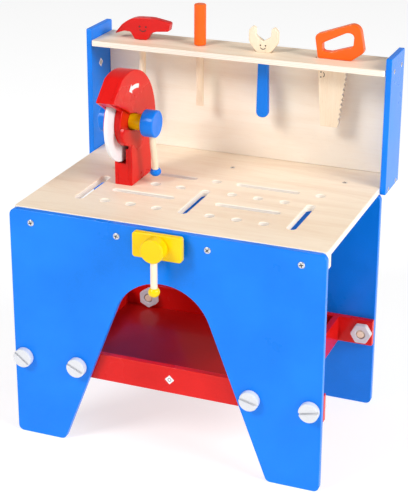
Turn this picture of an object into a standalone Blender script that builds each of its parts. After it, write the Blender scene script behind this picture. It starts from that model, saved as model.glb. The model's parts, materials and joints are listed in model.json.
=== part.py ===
"""Toy tool bench, as an assembly of separate wooden and metal pieces.

Metres, +Z up, X across the bench, +Y from the front panel to the backrest.
The origin is on the floor, under the middle of the bench's bounding box.
Run with: blender --background --python part.py
"""
import math

import bmesh
import bpy
from mathutils import Vector

# ---------------------------------------------------------------- driving dimensions

GAP = 0.0003              # air between two pieces that touch
FIT = 0.0004              # radial play of a dowel or shank in its hole

BENCH_W = 0.560           # over the front and rear panels
PANEL_H = 0.425           # height of the front panel
PANEL_T = 0.012
PANELS_DEPTH = 0.337      # front face of the front panel to back face of the rear one
REAR_Y = 0.416            # front face of the front panel to the back of the backrest
VISE_REACH = 0.0425       # how far the vise knob stands in front of the front panel
FRONT_Y = (VISE_REACH - REAR_Y) / 2          # world y of the front panel's front face

TOP_W, TOP_T, TOP_Z = 0.554, 0.0125, 0.426    # tabletop; TOP_Z is its upper face
TOP_UNDER = TOP_Z - TOP_T
BATTEN_D, BATTEN_H = 0.028, 0.0225
FRONT_BATTEN_W, REAR_BATTEN_W = 0.551, 0.480

ARCH_TOP, ARCH_R = 0.3295, 0.089             # arch cut-out of the two panels
ARCH_FOOT = 0.188                            # half width of the cut-out at the floor
CORNER_R, FOOT_R = 0.012, 0.010

RAIL_Z0, RAIL_H, RAIL_T = 0.125, 0.0485, 0.012
TRAY_END_X, TRAY_FLOOR_T = 0.217, 0.004

BOLT_XS, BOLT_Z = (0.158, 0.261), 0.150      # toy bolts, both sides of the middle
BOLT_HEAD_R, BOLT_HEAD_T, BOLT_R = 0.017, 0.012, 0.008
NUT_FLATS, NUT_T = 0.034, 0.012
SCREW_XS, SCREW_Z = (0.0805, 0.239), 0.4035  # metal screws of the front panel

BOARD_T, BOARD_Y, BOARD_TOP = 0.0105, 0.326, 0.6595
SHELF_Z, SHELF_T, SHELF_Y = 0.639, 0.0105, 0.323
BACK_T = 0.012

HOLE_R, HOLE_PITCH = 0.0085, 0.048           # round holes of the tabletop
BAY_X = 0.096                                # middle of the left and right hole groups
HOLE_ROWS_Y = (0.0915, 0.1995)
SLOT_W, SLOT_XS, SLOT_Y = 0.0155, (-0.192, 0.0, 0.192), (0.083, 0.204)
CROSS_SLOT_L, CROSS_SLOT_W, CROSS_SLOTS_Y = 0.116, 0.014, (0.146, 0.251)
BACK_HOLE_Y = 0.251

SAW_X, SAW_W, CHEEK_T = -0.1458, 0.0335, 0.0065
AXLE_Y, AXLE_Z, AXLE_R = 0.187, 0.541, 0.006
BLADE_R, BLADE_T, HUB_R, HUB_T = 0.0735, 0.0055, 0.0445, 0.0125
HOOD_R, NOTCH_R, GUARD_R = 0.1045, 0.0155, 0.058
BLADE_ROOM, HUB_ROOM, HUB_ROOM_W = 0.0765, 0.050, 0.005
SAW_KNOB_R, SAW_KNOB_L, SPACER_R = 0.024, 0.024, 0.014
BAR_R, CRANK_LEN, CRANK_BALL_R, CRANK_LEAN = 0.0058, 0.0960, 0.010, math.radians(11)

VISE_Z, VISE_SCREW_R = 0.4035, 0.007
JAW_W, JAW_H, JAW_T, JAW_OPEN = 0.0870, 0.0435, 0.012, 0.0085
VISE_KNOB_R, VISE_KNOB_T = 0.0205, 0.021
HANDLE_LEN, VISE_BALL_R = 0.0735, 0.0098
GUIDE_X, GUIDE_R = 0.030, 0.004

TOOL_Y = 0.370            # middle plane of the tools that hang in the shelf
HAMMER_X, HAMMER_T, HAMMER_HANDLE_R, HAMMER_END_Z = -0.195, 0.016, 0.0065, 0.500
DRIVER_X, DRIVER_GRIP_R, DRIVER_R = -0.080, 0.011, 0.007
DRIVER_TOP_Z, DRIVER_TIP_Z = 0.715, 0.524
WRENCH_X, WRENCH_T, WRENCH_END_Z = 0.0425, 0.011, 0.517
SAW_TOOL_X, SAW_GRIP_T, SAW_BLADE_T, SAW_END_Z = 0.171, 0.017, 0.008, 0.514
TOOL_PLAY = 0.0015        # free play of a tool in its hole in the shelf

ROUND = 28                # facets of an ordinary round part

# ---------------------------------------------------------------- materials

PAINTS = {                # name: (linear colour, roughness, metallic)
    "blue_paint": ((0.0, 0.22, 0.90), 0.35, 0.0),
    "red_paint": ((0.78, 0.015, 0.012), 0.35, 0.0),
    "yellow_paint": ((0.95, 0.60, 0.0), 0.35, 0.0),
    "orange_paint": ((0.95, 0.16, 0.01), 0.35, 0.0),
    "white_paint": ((0.80, 0.80, 0.82), 0.40, 0.0),
    "plywood": ((0.86, 0.68, 0.45), 0.55, 0.0),
    "beech": ((0.88, 0.70, 0.48), 0.50, 0.0),
    "steel": ((0.62, 0.62, 0.63), 0.30, 1.0),
}


def material(name):
    mat = bpy.data.materials.get(name)
    if mat is None:
        colour, roughness, metallic = PAINTS[name]
        mat = bpy.data.materials.new(name)
        mat.use_nodes = True
        shader = mat.node_tree.nodes["Principled BSDF"]
        shader.inputs["Base Color"].default_value = (*colour, 1.0)
        shader.inputs["Roughness"].default_value = roughness
        shader.inputs["Metallic"].default_value = metallic
        mat.diffuse_color = (*colour, 1.0)
    return mat


# ---------------------------------------------------------------- solids

def finish(bm, name, paint):
    """Turn a bmesh into a named object, smooth but for its real corners."""
    bmesh.ops.remove_doubles(bm, verts=bm.verts[:], dist=1e-6)
    bmesh.ops.recalc_face_normals(bm, faces=bm.faces[:])
    for face in bm.faces:
        face.smooth = True
    for edge in bm.edges:
        edge.smooth = edge.calc_face_angle(math.pi) < math.radians(35)
    mesh = bpy.data.meshes.new(name)
    bm.to_mesh(mesh)
    bm.free()
    mesh.materials.append(material(paint))
    obj = bpy.data.objects.new(name, mesh)
    bpy.context.collection.objects.link(obj)
    return obj


def set_origin(obj, point):
    """Move the object's origin to a point on its joint axis, leaving its mesh in place."""
    obj.data.transform(obj.matrix_world.Translation(-Vector(point)))
    obj.location = point
    return obj


def prism(name, paint, outline, normal, low, high, holes=()):
    """Extrude a flat outline with holes from low to high along an axis.

    The outline's two coordinates are the two other axes, in X, Y, Z order.
    """
    axis = "XYZ".index(normal)
    bm = bmesh.new()
    for loop in (outline, *holes):
        verts = []
        for a, b in loop:
            place = [a, b]
            place.insert(axis, low)
            verts.append(bm.verts.new(place))
        for one, two in zip(verts, verts[1:] + verts[:1]):
            bm.edges.new((one, two))
    if holes:
        bmesh.ops.triangle_fill(bm, use_beauty=True, use_dissolve=False, edges=bm.edges[:])
    else:
        bm.faces.new(bm.verts[:])
    cap = bm.faces[:]
    grown = bmesh.ops.extrude_face_region(bm, geom=cap, use_keep_orig=True)
    lift = [0.0, 0.0, 0.0]
    lift[axis] = high - low
    moved = [item for item in grown["geom"] if isinstance(item, bmesh.types.BMVert)]
    bmesh.ops.translate(bm, verts=moved, vec=lift)
    return finish(bm, name, paint)


def box(name, paint, low, high):
    outline = [(low[0], low[1]), (high[0], low[1]), (high[0], high[1]), (low[0], high[1])]
    return prism(name, paint, outline, "Z", low[2], high[2])


def lathe(name, paint, profile, foot, direction, segments=ROUND, ring=False):
    """Turn a profile of (radius, distance) points about a line from foot along direction.

    A ring's profile is a closed loop; any other profile starts and ends on the axis.
    """
    along = Vector(direction).normalized()
    side = along.orthogonal().normalized()
    other = along.cross(side)
    bm = bmesh.new()
    rows = []
    for radius, distance in profile:
        centre = Vector(foot) + along * distance
        if radius < 1e-9:
            rows.append([bm.verts.new(centre)] * segments)
            continue
        turns = [2 * math.pi * (k + 0.5) / segments for k in range(segments)]
        rows.append([bm.verts.new(centre + (side * math.cos(t) + other * math.sin(t)) * radius)
                     for t in turns])
    pairs = list(zip(rows, rows[1:] + rows[:1])) if ring else list(zip(rows, rows[1:]))
    for one, two in pairs:
        for k in range(segments):
            corners = [one[k], one[(k + 1) % segments], two[(k + 1) % segments], two[k]]
            face = list(dict.fromkeys(corners))
            if len(face) > 2:
                bm.faces.new(face)
    return finish(bm, name, paint)


def dowel(name, paint, radius, start, end, segments=24):
    """A round rod from one point to another."""
    length = (Vector(end) - Vector(start)).length
    profile = [(0, 0), (radius, 0), (radius, length), (0, length)]
    return lathe(name, paint, profile, start, Vector(end) - Vector(start), segments)


def carve(obj, cutter):
    """Cut one solid out of another and remove the cutter."""
    cut = obj.modifiers.new("cut", "BOOLEAN")
    cut.operation = "DIFFERENCE"
    cut.solver = "EXACT"
    cut.object = cutter
    bpy.context.view_layer.update()
    graph = bpy.context.evaluated_depsgraph_get()
    mesh = bpy.data.meshes.new_from_object(obj.evaluated_get(graph))
    mesh.name = obj.name
    obj.modifiers.clear()
    obj.data = mesh
    bpy.data.objects.remove(cutter)
    return obj


# ---------------------------------------------------------------- outlines

def arc(centre, radius, start, end, steps):
    """Points on a circle from one angle to another, both in degrees."""
    angles = [math.radians(start + (end - start) * k / steps) for k in range(steps + 1)]
    return [(centre[0] + radius * math.cos(a), centre[1] + radius * math.sin(a)) for a in angles]


def circle(centre, radius, segments=20):
    return arc(centre, radius, 0, 360, segments)[:-1]


def rounded(corners, steps=6):
    """An outline from (x, y, radius) corners, each radius turned into a fillet."""
    points = []
    count = len(corners)
    for k, (x, y, radius) in enumerate(corners):
        here = Vector((x, y))
        if radius <= 0:
            points.append((x, y))
            continue
        back = (Vector(corners[k - 1][:2]) - here).normalized()
        ahead = (Vector(corners[(k + 1) % count][:2]) - here).normalized()
        half = back.angle(ahead) / 2
        centre = here + (back + ahead).normalized() * (radius / math.sin(half))
        start = here + back * (radius / math.tan(half)) - centre
        end = here + ahead * (radius / math.tan(half)) - centre
        swing = start.angle_signed(end)
        for step in range(steps + 1):
            turn = -swing * step / steps
            points.append((centre.x + start.x * math.cos(turn) - start.y * math.sin(turn),
                           centre.y + start.x * math.sin(turn) + start.y * math.cos(turn)))
    return points


def slot(centre, length, width, along_x, steps=10):
    """A straight slot with round ends."""
    reach = (length - width) / 2
    cx, cy = centre
    if along_x:
        return (arc((cx + reach, cy), width / 2, -90, 90, steps)
                + arc((cx - reach, cy), width / 2, 90, 270, steps))
    return (arc((cx, cy + reach), width / 2, 0, 180, steps)
            + arc((cx, cy - reach), width / 2, 180, 360, steps))


def mirrored(half):
    """Close an outline whose right half runs from the bottom to the top."""
    return half + [(-x, y, r) for x, y, r in reversed(half) if abs(x) > 1e-9]


def panel_outline(height):
    """A bench panel: a rectangle with eased corners and the flared arch below."""
    half_w = BENCH_W / 2
    lean = math.degrees(arch_angle())
    arch = arc((0, ARCH_TOP - ARCH_R), ARCH_R, 180 - lean, lean, 24)
    return rounded([(half_w, 0, FOOT_R), (half_w, height, CORNER_R),
                    (-half_w, height, CORNER_R), (-half_w, 0, FOOT_R),
                    (-ARCH_FOOT, 0, FOOT_R), *[(x, z, 0) for x, z in arch],
                    (ARCH_FOOT, 0, FOOT_R)])


def arch_angle():
    """Angle of the leg's inner edge from the vertical, where it is tangent to the arch."""
    drop = ARCH_TOP - ARCH_R
    reach = math.hypot(ARCH_FOOT, drop)
    return math.atan2(ARCH_FOOT, drop) - math.asin(ARCH_R / reach)


# ---------------------------------------------------------------- the bench

def y_at(depth):
    """World y of a depth measured from the front panel's front face."""
    return FRONT_Y + depth


def bolt_places():
    return [(sign * x, BOLT_Z) for x in BOLT_XS for sign in (-1, 1)]


def build_panels():
    bolts = [circle(place, BOLT_R + FIT) for place in bolt_places()]
    screws = [circle((sign * x, SCREW_Z), 0.0025, 10) for x in SCREW_XS for sign in (-1, 1)]
    vise = [circle((0, VISE_Z), VISE_SCREW_R + FIT)]
    vise += [circle((sign * GUIDE_X, VISE_Z), GUIDE_R + FIT, 16) for sign in (-1, 1)]
    prism("front_panel", "blue_paint", panel_outline(PANEL_H), "Y",
          y_at(0), y_at(PANEL_T), bolts + screws + vise)
    prism("rear_panel", "blue_paint", panel_outline(TOP_UNDER - GAP), "Y",
          y_at(PANELS_DEPTH - PANEL_T), y_at(PANELS_DEPTH), bolts)

    low, high = TOP_UNDER - GAP - BATTEN_H, TOP_UNDER - GAP
    start = PANEL_T + GAP
    end = PANELS_DEPTH - PANEL_T - GAP - BATTEN_D
    for name, width, y, holes in (("front_batten", FRONT_BATTEN_W, start, vise),
                                  ("rear_batten", REAR_BATTEN_W, end, ())):
        reach = width / 2
        outline = [(-reach, low), (reach, low), (reach, high), (-reach, high)]
        prism(name, "beech", outline, "Y", y_at(y), y_at(y + BATTEN_D), holes)


def build_tabletop():
    holes = []
    for side in (-1, 1):
        for row in HOLE_ROWS_Y:
            holes += [circle((side * BAY_X + k * HOLE_PITCH, y_at(row)), HOLE_R)
                      for k in (-1, 0, 1)]
        holes += [slot((side * BAY_X, y_at(y)), CROSS_SLOT_L, CROSS_SLOT_W, True)
                  for y in CROSS_SLOTS_Y]
    for x in SLOT_XS:
        holes.append(slot((x, y_at(sum(SLOT_Y) / 2)), SLOT_Y[1] - SLOT_Y[0], SLOT_W, False))
        holes.append(circle((x, y_at(BACK_HOLE_Y)), HOLE_R))
    half, front, back = TOP_W / 2, y_at(PANEL_T + GAP), y_at(REAR_Y)
    outline = rounded([(-half, front, 0.004), (half, front, 0.004),
                       (half, back, 0), (-half, back, 0)])
    prism("tabletop", "plywood", outline, "Z", TOP_UNDER, TOP_Z, holes)


def build_tray():
    half = BENCH_W / 2
    outline = [(-half, RAIL_Z0), (half, RAIL_Z0), (half, RAIL_Z0 + RAIL_H),
               (-half, RAIL_Z0 + RAIL_H)]
    bolts = [circle(place, BOLT_R + FIT) for place in bolt_places()]
    front = PANEL_T + GAP
    back = PANELS_DEPTH - PANEL_T - GAP
    prism("tray_front_rail", "red_paint", outline, "Y", y_at(front), y_at(front + RAIL_T), bolts)
    prism("tray_rear_rail", "red_paint", outline, "Y", y_at(back - RAIL_T), y_at(back), bolts)
    low, high = y_at(front + RAIL_T + GAP), y_at(back - RAIL_T - GAP)
    inner = TRAY_END_X - RAIL_T
    for side, name in ((-1, "tray_left_end"), (1, "tray_right_end")):
        x0, x1 = sorted((side * inner, side * TRAY_END_X))
        box(name, "red_paint", (x0, low, RAIL_Z0), (x1, high, RAIL_Z0 + RAIL_H))
    box("tray_floor", "red_paint", (-inner + GAP, low, RAIL_Z0 + 0.0005),
        (inner - GAP, high, RAIL_Z0 + 0.0005 + TRAY_FLOOR_T))


def build_backrest():
    inner = TOP_W / 2
    for side, name in ((-1, "left_side_board"), (1, "right_side_board")):
        x0, x1 = sorted((side * (inner + GAP), side * (inner + GAP + BOARD_T)))
        outline = rounded([(y_at(BOARD_Y), TOP_UNDER, 0.003), (y_at(REAR_Y), TOP_UNDER, 0.003),
                           (y_at(REAR_Y), BOARD_TOP, 0.003), (y_at(BOARD_Y), BOARD_TOP, 0.003)], 3)
        prism(name, "blue_paint", outline, "X", x0, x1)
    half = inner - GAP
    box("back_board", "plywood", (-half, y_at(REAR_Y - BACK_T), TOP_Z + GAP),
        (half, y_at(REAR_Y), SHELF_Z - SHELF_T - GAP))
    y = y_at(TOOL_Y)
    holes = [circle((HAMMER_X, y), HAMMER_HANDLE_R + TOOL_PLAY),
             circle((DRIVER_X, y), DRIVER_R + TOOL_PLAY),
             slot((WRENCH_X, y), 0.034, WRENCH_T + 2 * TOOL_PLAY, True),
             slot((SAW_TOOL_X, y), 0.062, SAW_BLADE_T + 2 * TOOL_PLAY, True)]
    outline = rounded([(-half, y_at(SHELF_Y), 0.004), (half, y_at(SHELF_Y), 0.004),
                       (half, y_at(REAR_Y), 0), (-half, y_at(REAR_Y), 0)])
    prism("tool_shelf", "plywood", outline, "Z", SHELF_Z - SHELF_T, SHELF_Z, holes)


def build_fasteners():
    """Toy bolts with their nuts, and the small screws along the front panel's top."""
    tilts = {(-0.261, 0): -37, (-0.158, 0): -26, (0.158, 0): -13.5, (0.261, 0): 13}
    nut_tilts = {(-0.158, 1): 33, (0.261, 1): 2}
    shank = BOLT_HEAD_T + PANEL_T + RAIL_T + NUT_T + 2 * GAP
    ease = 0.0015
    for row, (face, out, word) in enumerate(((0, -1, "front"), (PANELS_DEPTH, 1, "rear"))):
        for number, (x, z) in enumerate(sorted(bolt_places())):
            foot = Vector((x, y_at(face + out * (GAP + BOLT_HEAD_T)), z))
            profile = [(0, 0), (BOLT_HEAD_R - ease, 0), (BOLT_HEAD_R, ease),
                       (BOLT_HEAD_R, BOLT_HEAD_T), (BOLT_R, BOLT_HEAD_T),
                       (BOLT_R, shank), (0, shank)]
            bolt = lathe(f"{word}_bolt_{number + 1}", "white_paint", profile, foot,
                         (0, -out, 0))
            tilt = math.radians(tilts.get((x, row), 15 + 25 * number))
            carve(bolt, slot_cutter(foot, tilt, -out))
            set_origin(bolt, foot)

            inner = face - out * (PANEL_T + RAIL_T + 2 * GAP)
            low, high = sorted((y_at(inner), y_at(inner - out * NUT_T)))
            turn = nut_tilts.get((x, row), 11 * number)
            corners = arc((x, z), NUT_FLATS / math.sqrt(3), turn, turn + 360, 6)[:-1]
            prism(f"{word}_nut_{number + 1}", "white_paint", corners, "Y", low, high,
                  [circle((x, z), BOLT_R + FIT)])

    for number, x in enumerate(sorted(s * v for v in SCREW_XS for s in (-1, 1))):
        profile = [(0, 0), (0.0040, 0), (0.0058, 0.0010), (0.0058, 0.0017),
                   (0.0021, 0.0017), (0.0021, PANEL_T + 0.0015), (0, PANEL_T + 0.0015)]
        foot = (x, y_at(-GAP - 0.0017), SCREW_Z)
        lathe(f"panel_screw_{number + 1}", "steel", profile, foot, (0, 1, 0), 16)


def slot_cutter(foot, tilt, inward):
    """The bar-shaped cutter of a bolt head's screwdriver slot."""
    width, depth, reach = 0.0048, 0.0045, 0.03
    u = Vector((math.cos(tilt), 0, math.sin(tilt)))
    v = Vector((-math.sin(tilt), 0, math.cos(tilt)))
    bm = bmesh.new()
    for a in (-reach, reach):
        for b in (-width / 2, width / 2):
            for c in (-0.005, depth):
                bm.verts.new(foot + u * a + v * b + Vector((0, inward * c, 0)))
    bmesh.ops.convex_hull(bm, input=bm.verts[:])
    return finish(bm, "cutter", "white_paint")


# ---------------------------------------------------------------- the circular saw

def saw_shell():
    """The hood from its front lip over the top and down the back to the post's foot."""
    front_lip = (AXLE_Y - 0.0856, AXLE_Z + 0.054)
    dome = arc((AXLE_Y - 0.013, AXLE_Z - 0.011), HOOD_R, 110, -8, 22)
    return [front_lip, *dome, (AXLE_Y + 0.0675, AXLE_Z - 0.053), (AXLE_Y + 0.0705, TOP_Z + GAP)]


def build_saw_body():
    post_front = AXLE_Y - 0.0145
    lip = arc((AXLE_Y - 0.0285, AXLE_Z - 0.0145), 0.0205, 262, 140, 8)
    notch = arc((AXLE_Y, AXLE_Z), NOTCH_R, -105, 65, 14)
    roof = [(AXLE_Y - 0.0158, AXLE_Z + 0.0185), (AXLE_Y - 0.0411, AXLE_Z + 0.0335)]
    notched = ([(post_front, TOP_Z + GAP), (post_front, AXLE_Z - 0.0425)] + lip + notch + roof
               + saw_shell())
    bore = circle((AXLE_Y, AXLE_Z), NOTCH_R)
    guard = ([(post_front, TOP_Z + GAP), (post_front, AXLE_Z - 0.0600)]
             + arc((AXLE_Y, AXLE_Z), GUARD_R, -150, -212, 10) + saw_shell())
    left = SAW_X - SAW_W / 2
    right = SAW_X + SAW_W / 2
    prism("saw_left_cheek", "red_paint", to_world(guard), "X", left, left + CHEEK_T,
          [to_world(bore)])
    prism("saw_right_cheek", "red_paint", to_world(notched), "X", right - CHEEK_T, right)
    start = -math.degrees(math.acos(-0.0145 / HUB_ROOM))
    core = ([(post_front, TOP_Z + GAP)] + arc((AXLE_Y, AXLE_Z), HUB_ROOM, start, 146, 32)
            + saw_shell())
    solid = prism("saw_core", "red_paint", to_world(core), "X",
                  left + CHEEK_T + GAP, right - CHEEK_T - GAP)
    carve(solid, dowel("cutter", "red_paint", BLADE_ROOM, (left, y_at(AXLE_Y), AXLE_Z),
                       (right - CHEEK_T - HUB_ROOM_W, y_at(AXLE_Y), AXLE_Z), 64))


def to_world(outline):
    """Shift an outline in (depth, height) to world y and z."""
    return [(y_at(depth), height) for depth, height in outline]


def build_saw_rotor():
    """Blade, hub, spacer and knobs on one dowel axle, with the crank in the right knob."""
    pivot = Vector((SAW_X, y_at(AXLE_Y), AXLE_Z))
    across = Vector((1, 0, 0))
    bore = AXLE_R + GAP
    room = SAW_X - SAW_W / 2 + CHEEK_T                 # inner face of the left cheek
    blade_x = room + 0.0015
    hub_x = blade_x + BLADE_T + GAP
    spacer_x = hub_x + HUB_T + GAP
    right_x = SAW_X + SAW_W / 2 + 0.0187               # inner face of the right knob
    left_x = SAW_X - SAW_W / 2 - 0.003                 # inner face of the left knob

    def disc(name, paint, radius, start, length, segments):
        ring = [(bore, 0), (radius, 0), (radius, length), (bore, length)]
        foot = Vector((start, pivot.y, pivot.z))
        return lathe(name, paint, ring, foot, across, segments, ring=True)

    pieces = [disc("saw_blade", "white_paint", BLADE_R, blade_x, BLADE_T, 48),
              disc("saw_hub", "red_paint", HUB_R, hub_x, HUB_T, 36),
              disc("saw_spacer", "yellow_paint", SPACER_R, spacer_x,
                   right_x - GAP - spacer_x, ROUND)]

    depth = 0.018                                      # of the axle's blind bores
    for name, start, way in (("saw_left_knob", left_x, -1), ("saw_right_knob", right_x, 1)):
        profile = knob_profile(SAW_KNOB_R, SAW_KNOB_L, bore, depth)
        foot = Vector((start, pivot.y, pivot.z))
        pieces.append(lathe(name, "blue_paint", profile, foot, across * way, 32))
    pieces.append(dowel("saw_axle", "beech", AXLE_R,
                        (left_x - depth + GAP, pivot.y, pivot.z),
                        (right_x + depth - GAP, pivot.y, pivot.z)))

    hang = Vector((0, math.sin(CRANK_LEAN), -math.cos(CRANK_LEAN)))
    centre = Vector((right_x + SAW_KNOB_L / 2, pivot.y, pivot.z))
    knob = pieces[4]
    carve(knob, dowel("cutter", "beech", BAR_R + GAP, centre + hang * 0.0117,
                      centre + hang * 0.04))
    pieces.append(dowel("saw_crank_bar", "beech", BAR_R, centre + hang * 0.012,
                        centre + hang * CRANK_LEN, 20))
    pieces.append(ball("saw_crank_ball", "blue_paint", centre + hang * CRANK_LEN,
                       CRANK_BALL_R, hang))
    for piece in pieces:
        set_origin(piece, pivot)


def knob_profile(radius, length, bore, depth):
    """A turned knob with a blind bore in its first face."""
    ease = 0.0015
    return [(0, depth), (bore, depth), (bore, 0), (radius - ease, 0), (radius, ease),
            (radius, length - ease), (radius - ease, length), (0, length)]


def ball(name, paint, centre, radius, direction):
    """A ball with a blind bore for a bar that ends at its centre."""
    bore = BAR_R + GAP
    mouth = math.degrees(math.asin(bore / radius))
    skin = [(r, c) for c, r in arc((0, 0), radius, 180 - mouth, 0, 10)[:-1]]
    return lathe(name, paint, [(0, GAP), (bore, GAP), *skin, (0, radius)], centre, direction, 20)


# ---------------------------------------------------------------- the vise

def build_vise():
    pivot = Vector((0, y_at(-JAW_OPEN), VISE_Z))
    half_w, half_h = JAW_W / 2, JAW_H / 2
    outline = rounded([(-half_w, VISE_Z - half_h, 0.005), (half_w, VISE_Z - half_h, 0.005),
                       (half_w, VISE_Z + half_h, 0.005), (-half_w, VISE_Z + half_h, 0.005)])
    jaw_front = y_at(-JAW_OPEN - JAW_T)
    jaw = prism("vise_jaw", "yellow_paint", outline, "Y", jaw_front, pivot.y,
                [circle((0, VISE_Z), VISE_SCREW_R + FIT)])
    for side, name in ((-1, "vise_left_guide"), (1, "vise_right_guide")):
        x = side * GUIDE_X
        start = pivot.y - 0.008
        carve(jaw, dowel("cutter", "beech", GUIDE_R + GAP, (x, start - GAP, VISE_Z),
                         (x, pivot.y + 0.01, VISE_Z), 16))
        guide = dowel(name, "beech", GUIDE_R, (x, start, VISE_Z),
                      (x, y_at(PANEL_T + BATTEN_D + 0.022), VISE_Z), 16)
        set_origin(guide, pivot)
    set_origin(jaw, pivot)

    knob_back = jaw_front - GAP
    depth = 0.012
    profile = knob_profile(VISE_KNOB_R, VISE_KNOB_T, VISE_SCREW_R + GAP, depth)
    knob = lathe("vise_knob", "yellow_paint", profile, (0, knob_back, VISE_Z), (0, -1, 0), 32)
    screw = dowel("vise_screw", "beech", VISE_SCREW_R, (0, knob_back - depth + GAP, VISE_Z),
                  (0, y_at(0.066), VISE_Z), 24)

    down = Vector((0, 0, -1))
    centre = Vector((0, knob_back - VISE_KNOB_T / 2, VISE_Z))
    carve(knob, dowel("cutter", "beech", BAR_R + GAP, centre + down * 0.0092,
                      centre + down * 0.03))
    bar = dowel("vise_bar", "beech", BAR_R, centre + down * 0.0095,
                centre + down * HANDLE_LEN, 20)
    end = ball("vise_ball", "yellow_paint", centre + down * HANDLE_LEN, VISE_BALL_R, down)
    for piece in (knob, screw, bar, end):
        set_origin(piece, pivot)


# ---------------------------------------------------------------- the tools in the shelf

def placed(corners, x, steps=6):
    return [(a + x, b) for a, b in rounded(corners, steps)]


def build_hammer():
    base = SHELF_Z + GAP
    head = [(-0.0118, base, 0), (0.0118, base, 0), (0.0200, 0.6525, 0.008),
            (0.0305, 0.6565, 0.010), (0.0560, 0.6590, 0.004), (0.0590, 0.6750, 0.004),
            (0.0240, 0.6812, 0.060), (-0.0160, 0.6800, 0.050), (-0.0370, 0.6655, 0.030),
            (-0.0525, 0.6462, 0.001), (-0.0330, 0.6530, 0.015), (-0.0200, 0.6525, 0.006)]
    y = y_at(TOOL_Y)
    foot = Vector((HAMMER_X, y, base))
    solid = prism("hammer_head", "red_paint", placed(head, HAMMER_X), "Y",
                  y - HAMMER_T / 2, y + HAMMER_T / 2)
    bore = dowel("cutter", "beech", HAMMER_HANDLE_R + GAP, (HAMMER_X, y, base - 0.02),
                 (HAMMER_X, y, 0.668 + GAP))
    carve(solid, bore)
    handle = dowel("hammer_handle", "beech", HAMMER_HANDLE_R, (HAMMER_X, y, 0.668),
                   (HAMMER_X, y, HAMMER_END_Z))
    for piece in (solid, handle):
        set_origin(piece, foot)


def build_screwdriver():
    base = SHELF_Z + GAP
    y = y_at(TOOL_Y)
    foot = Vector((DRIVER_X, y, base))
    height, depth, bore = DRIVER_TOP_Z - base, 0.045, DRIVER_R + GAP
    dome = [(DRIVER_GRIP_R - 0.003 + 0.003 * math.cos(math.radians(a)),
             height - 0.003 + 0.003 * math.sin(math.radians(a))) for a in (0, 30, 60, 90)]
    profile = [(0, depth), (bore, depth), (bore, 0), (DRIVER_GRIP_R - 0.0015, 0),
               (DRIVER_GRIP_R, 0.0015)] + dome + [(0, height)]
    grip = lathe("screwdriver_grip", "orange_paint", profile, foot, (0, 0, 1))
    shaft = dowel("screwdriver_shaft", "beech", DRIVER_R, (DRIVER_X, y, base + depth - GAP),
                  (DRIVER_X, y, DRIVER_TIP_Z))
    for side in (-1, 1):                       # two flats grind the tip to a blade
        far = side * 0.02
        wedge = [(y + side * 0.0014, DRIVER_TIP_Z - 0.01), (y + far, DRIVER_TIP_Z - 0.01),
                 (y + far, DRIVER_TIP_Z + 0.034), (y + side * 0.0075, DRIVER_TIP_Z + 0.034),
                 (y + side * 0.0014, DRIVER_TIP_Z + 0.004)]
        carve(shaft, prism("cutter", "beech", wedge, "X", DRIVER_X - 0.02, DRIVER_X + 0.02))
    for piece in (grip, shaft):
        set_origin(piece, foot)


def build_wrench():
    """An open-ended wrench cut from one board; its head rests on the shelf's slot."""
    half = [(0.0115, WRENCH_END_Z, 0.0100), (0.0090, 0.6335, 0.003), (0.0275, 0.6560, 0.014),
            (0.0275, 0.6770, 0.010), (0.0205, 0.6850, 0.0030), (0.0150, 0.6820, 0.0035),
            (0.0145, 0.6680, 0.004), (0.0, 0.6585, 0.002)]
    y = y_at(TOOL_Y)
    wrench = prism("wrench", "beech", placed(mirrored(half), WRENCH_X, 5), "Y",
                   y - WRENCH_T / 2, y + WRENCH_T / 2)
    set_origin(wrench, (WRENCH_X, y, SHELF_Z))


def build_handsaw():
    base = SHELF_Z + GAP
    y = y_at(TOOL_Y)
    foot = Vector((SAW_TOOL_X, y, base))
    grip = [(-0.0260, base, 0.004), (0.0345, base, 0.008), (0.0575, 0.6560, 0.009),
            (0.0470, 0.7098, 0.016), (-0.0325, 0.6808, 0.009)]
    hole = [(-0.0180, 0.6520, 0.005), (-0.0030, 0.6520, 0.010), (0.0375, 0.6650, 0.006),
            (0.0390, 0.6885, 0.008), (0.0250, 0.6885, 0.010), (-0.0185, 0.6668, 0.005)]
    solid = prism("handsaw_grip", "orange_paint", placed(grip, SAW_TOOL_X), "Y",
                  y - SAW_GRIP_T / 2, y + SAW_GRIP_T / 2, [placed(hole, SAW_TOOL_X)])

    tongue = 0.008
    teeth, left, right_top, right_end = 11, -0.0280, 0.0285, 0.0160
    first, last = SHELF_Z - 0.016, SAW_END_Z + 0.006
    edge = []
    for k in range(teeth):                     # each tooth: a square step out, then a slope in
        for z_share, out in ((k, 0.0), (k + 0.35, 0.0032)):
            share = z_share / teeth
            edge.append((right_top + (right_end - right_top) * share - 0.003 + out,
                         first + (last - first) * share))
    outline = ([(left + 0.004, base + tongue), (left, base - GAP * 2), (left + 0.0100, SAW_END_Z),
                (right_end - 0.003, SAW_END_Z)] + edge[::-1]
               + [(right_top - 0.003, base - GAP * 2), (right_top - 0.012, base + tongue)])
    outline = [(a + SAW_TOOL_X, b) for a, b in outline]
    blade = prism("handsaw_blade", "beech", outline, "Y",
                  y - SAW_BLADE_T / 2, y + SAW_BLADE_T / 2)
    room = [(SAW_TOOL_X - 0.0285, base - 0.01), (SAW_TOOL_X + 0.0290, base - 0.01),
            (SAW_TOOL_X + 0.0290, base + tongue + GAP), (SAW_TOOL_X - 0.0285, base + tongue + GAP)]
    carve(solid, prism("cutter", "beech", room, "Y", y - SAW_BLADE_T / 2 - GAP,
                       y + SAW_BLADE_T / 2 + GAP))
    for piece in (solid, blade):
        set_origin(piece, foot)


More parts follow.
